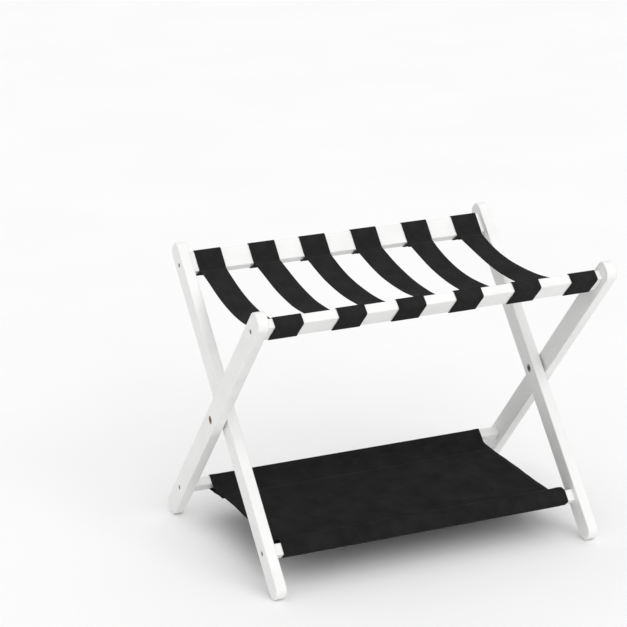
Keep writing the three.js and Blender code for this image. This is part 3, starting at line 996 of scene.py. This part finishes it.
def add_shelf(material, thread_material):
    line = resampled(shelf_line(), CLOTH_STEP)
    along = lengths_along(line)
    across = np.linspace(-SHELF_LENGTH / 2, SHELF_LENGTH / 2, SHELF_COLUMNS)
    hem_end = SHELF_LENGTH / 2 - SIDE_HEM
    rows = []
    for point, distance in zip(line, along):
        from_end = min(distance, along[-1] - distance)
        on_top = from_end > SLEEVE_ROUND
        row = []
        for x in across:
            lift = wrinkle(x, point.x) if on_top and abs(point.x) < SEAM_Y else 0.0
            lift += sleeve_slack(x, point.x, point.y)
            hem = SHELF_THICK / 2 * smooth_step(abs(x), hem_end - SIDE_HEM_STEP, hem_end)
            row.append(from_pivot(x, point) + Vector((0.0, 0.0, lift + hem)))
        rows.append(row)
    shelf = cloth_solid("shelf_canvas", rows, along, across, SHELF_THICK, material)
    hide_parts("shelf_cloth")
    sewn = stitches("shelf_stitches", shelf_stitches(), thread_material)
    for piece in (shelf, sewn):
        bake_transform(piece, "inner_frame", "outer_frame", (0.0, -0.15, 0.0), (0.0, 0.15, 0.0))


def shelf_stitches():
    """The seams of the two sleeves, and those of the hems along the cloth's two sides."""
    surface = SHELF_THICK / 2
    hem = SHELF_THICK / 2
    up = Vector((0.0, 0.0, 1.0))
    seams = []
    seam_y = SEAM_Y - SHELF_SEAM_INSET
    side_x = SHELF_LENGTH / 2 - SIDE_HEM + SIDE_HEM_STEP
    first_x = -SHELF_LENGTH / 2 + SHELF_SEAM_INSET
    last_x = SHELF_LENGTH / 2 - SHELF_SEAM_END
    for y in (-seam_y, seam_y):
        for x in np.arange(first_x, last_x, STITCH_PITCH):
            place = Vector((y, SHELF_LEVEL + surface + wrinkle(x, y)))
            seams.append((from_pivot(x, place), Vector((1.0, 0.0, 0.0)), up))
    for x in (-side_x, side_x):
        for y in np.arange(-seam_y, seam_y, STITCH_PITCH):
            place = Vector((y, SHELF_LEVEL + surface + hem + wrinkle(x, y)))
            seams.append((from_pivot(x, place), Vector((0.0, 1.0, 0.0)), up))
    return seams


# ---------------------------------------------------------------- fastenings

def turned(name, rings, closed):
    """A mesh round the X axis. Each ring is (x, radius, sides): a circle if sides is 0, else a polygon."""
    count = ROUND_SIDES
    vertices = []
    for x, radius, sides in rings:
        for step in range(count):
            turn = 2 * math.pi * step / count
            reach = radius
            if sides:
                wedge = math.pi / sides
                reach = radius * math.cos(wedge) / math.cos((turn % (2 * wedge)) - wedge)
            vertices.append((x, reach * math.cos(turn), reach * math.sin(turn)))
    faces = []
    pairs = [(i, i + 1) for i in range(len(rings) - 1)] + ([(len(rings) - 1, 0)] if closed else [])
    for near, far in pairs:
        for i in range(count):
            j = (i + 1) % count
            faces.append((near * count + i, near * count + j, far * count + j, far * count + i))
    if not closed:
        faces.append(list(reversed(range(count))))
        faces.append([(len(rings) - 1) * count + i for i in range(count)])
    mesh = closed_mesh(name, vertices, faces)
    mesh.shade_smooth()
    mesh.set_sharp_from_angle(angle=METAL_SHARP)
    return mesh


def add_fastener(node, material, rings, closed=False):
    """A turned fastening in the place of its CAD node. Its rings go inwards from its head's face at x 0."""
    low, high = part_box(node)
    middle = (low + high) / 2
    head_out = math.copysign(1.0, middle.x) * (-1.0 if "nut" in node else 1.0)
    face = high.x if head_out > 0 else low.x
    mesh = turned(node, [(-depth * head_out, radius, sides) for depth, radius, sides in rings], closed)
    mesh.transform(Matrix.Translation((face, middle.y, middle.z)))
    piece = add_object(f"{node}_turned", mesh, material)
    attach(piece, body_of(frame["nodes"][node])[0])
    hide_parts(node)


def rounded_head(radius, thick):
    """The rings of a head's rim: its bright flat, its rounded edge and its side."""
    edge = HEAD_ROUND
    return [
        (0.0, radius - 3 * edge, 0),
        (edge * 0.1, radius - edge, 0),
        (edge * 0.4, radius - edge * 0.3, 0),
        (edge, radius, 0),
        (thick, radius, 0),
    ]


def socket(radius, mouth, deep):
    """The rings of a hexagon socket, from its floor out to its round mouth."""
    return [(deep, radius, SOCKET_SIDES), (SOCKET_CHAMFER, radius, SOCKET_SIDES), (0.0, mouth, 0)]


def bolt_rings():
    rings = socket(BOLT_SOCKET_RADIUS, BOLT_SOCKET_MOUTH, BOLT_SOCKET_DEEP)
    rings += rounded_head(PIVOT_HEAD_RADIUS, PIVOT_HEAD_THICK)
    rings.append((PIVOT_HEAD_THICK, BOLT_SHANK_RADIUS, 0))
    rings.append((BOLT_TIP_START, BOLT_SHANK_RADIUS, 0))
    rings.append((BOLT_LENGTH, BOLT_TIP_RADIUS, 0))
    return rings


def nut_rings():
    rings = [(NUT_LENGTH, NUT_BORE_RADIUS, 0), (NUT_BORE_CHAMFER, NUT_BORE_RADIUS, 0)]
    rings.append((0.0, NUT_BORE_MOUTH, 0))
    rings += rounded_head(PIVOT_HEAD_RADIUS, PIVOT_HEAD_THICK)
    rings.append((PIVOT_HEAD_THICK, NUT_SLEEVE_RADIUS, 0))
    rings.append((NUT_LENGTH, NUT_SLEEVE_RADIUS, 0))
    return rings


def screw_rings():
    rings = socket(SCREW_SOCKET_RADIUS, SCREW_SOCKET_MOUTH, SCREW_SOCKET_DEEP)
    rings += rounded_head(SCREW_HEAD_RADIUS, SCREW_HEAD_THICK)
    rings.append((SCREW_HEAD_THICK, SCREW_SHANK_RADIUS, 0))
    rings.append((SCREW_TIP_START, SCREW_SHANK_RADIUS, 0))
    rings.append((SCREW_LENGTH, SCREW_TIP_RADIUS, 0))
    return rings


def bronze_plate():
    return metal(
        "bronze_plate",
        dark=(0.17, 0.11, 0.065),
        light=(0.33, 0.23, 0.14),
        tarnish=(0.45, 0.36, 0.25),
        rough_low=0.32,
        rough_high=0.5,
    )


def zinc_plate():
    return metal(
        "zinc_plate",
        dark=(0.16, 0.165, 0.15),
        light=(0.33, 0.335, 0.30),
        tarnish=(0.5, 0.5, 0.46),
        rough_low=0.3,
        rough_high=0.5,
    )


def add_fastenings():
    """Turns the bolts, nuts and screws anew, and gives the dowels, washers and tacks their finishes."""
    bronze = bronze_plate()
    zinc = zinc_plate()
    finishes = {"beech_dowel": raw_beech(), "nylon_washer": moulded_nylon(), "zinc_plate": zinc}
    for part in frame["record"]["subparts"]:
        node, slot = part["node"], part["material_slot"]
        if "pivot_bolt" in node:
            add_fastener(node, bronze, bolt_rings())
        elif "pivot_nut" in node:
            add_fastener(node, zinc, nut_rings(), closed=True)
        elif "_screw_" in node:
            add_fastener(node, zinc, screw_rings())
        elif slot in finishes:
            for place in frame["nodes"][node].material_slots:
                place.material = finishes[slot]


# ---------------------------------------------------------------- studio

def add_camera():
    a, e, r = CAMERA_AZIMUTH, CAMERA_ELEVATION, CAMERA_ROLL
    back = Vector((math.sin(a) * math.cos(e), -math.cos(a) * math.cos(e), math.sin(e)))
    level = Vector((math.cos(a), math.sin(a), 0.0))
    upright = back.cross(level)
    right = level * math.cos(r) + upright * math.sin(r)
    up = upright * math.cos(r) - level * math.sin(r)
    data = bpy.data.cameras.new("camera")
    data.lens = CAMERA_LENS
    data.sensor_width = SENSOR_WIDTH
    data.sensor_fit = "HORIZONTAL"
    camera = bpy.data.objects.new("camera", data)
    bpy.context.scene.collection.objects.link(camera)
    turn = Matrix((right, up, back)).transposed().to_4x4()
    place = PIVOT + back * CAMERA_DISTANCE + right * CAMERA_RIGHT + up * CAMERA_UP
    camera.matrix_world = Matrix.Translation(place) @ turn
    bpy.context.scene.camera = camera


def add_sun(name, towards, strength, spread):
    """A soft sun that shines from the direction of towards, as seen from the rack."""
    data = bpy.data.lights.new(name, "SUN")
    data.energy = strength
    data.angle = math.radians(spread)
    lamp = bpy.data.objects.new(name, data)
    bpy.context.scene.collection.objects.link(lamp)
    lamp.rotation_euler = Vector(towards).to_track_quat("Z", "Y").to_euler()


def add_studio():
    scene = bpy.context.scene
    scene.view_settings.view_transform = "Standard"
    scene.view_settings.look = "None"
    world = bpy.data.worlds.new("studio")
    world.use_nodes = True
    background = world.node_tree.nodes["Background"]
    background.inputs["Color"].default_value = (1.0, 1.0, 1.0, 1.0)
    background.inputs["Strength"].default_value = WORLD_LIGHT
    scene.world = world
    add_sun("key", towards=(0.1, -0.8, 0.6), strength=1.1, spread=50.0)
    add_sun("left fill", towards=(-0.9, -0.3, 0.5), strength=0.25, spread=60.0)
    add_sun("top", towards=(0.1, 0.1, 1.0), strength=0.7, spread=80.0)
    half = FLOOR_HALF
    corners = [(-half, -half, 0), (half, -half, 0), (half, half, 0), (-half, half, 0)]
    mesh = bpy.data.meshes.new("floor")
    mesh.from_pydata(corners, [], [(0, 1, 2, 3)])
    floor = add_object("floor", mesh, pale_floor())
    floor.location.z = -FLOOR_DROP


# ---------------------------------------------------------------- the rack

add_camera()
add_studio()
add_frames()
add_fastenings()
webbing = black_webbing()
canvas = black_canvas()
sewing = thread()
for number in range(STRAP_COUNT):
    add_strap(number, webbing, sewing)
add_shelf(canvas, sewing)
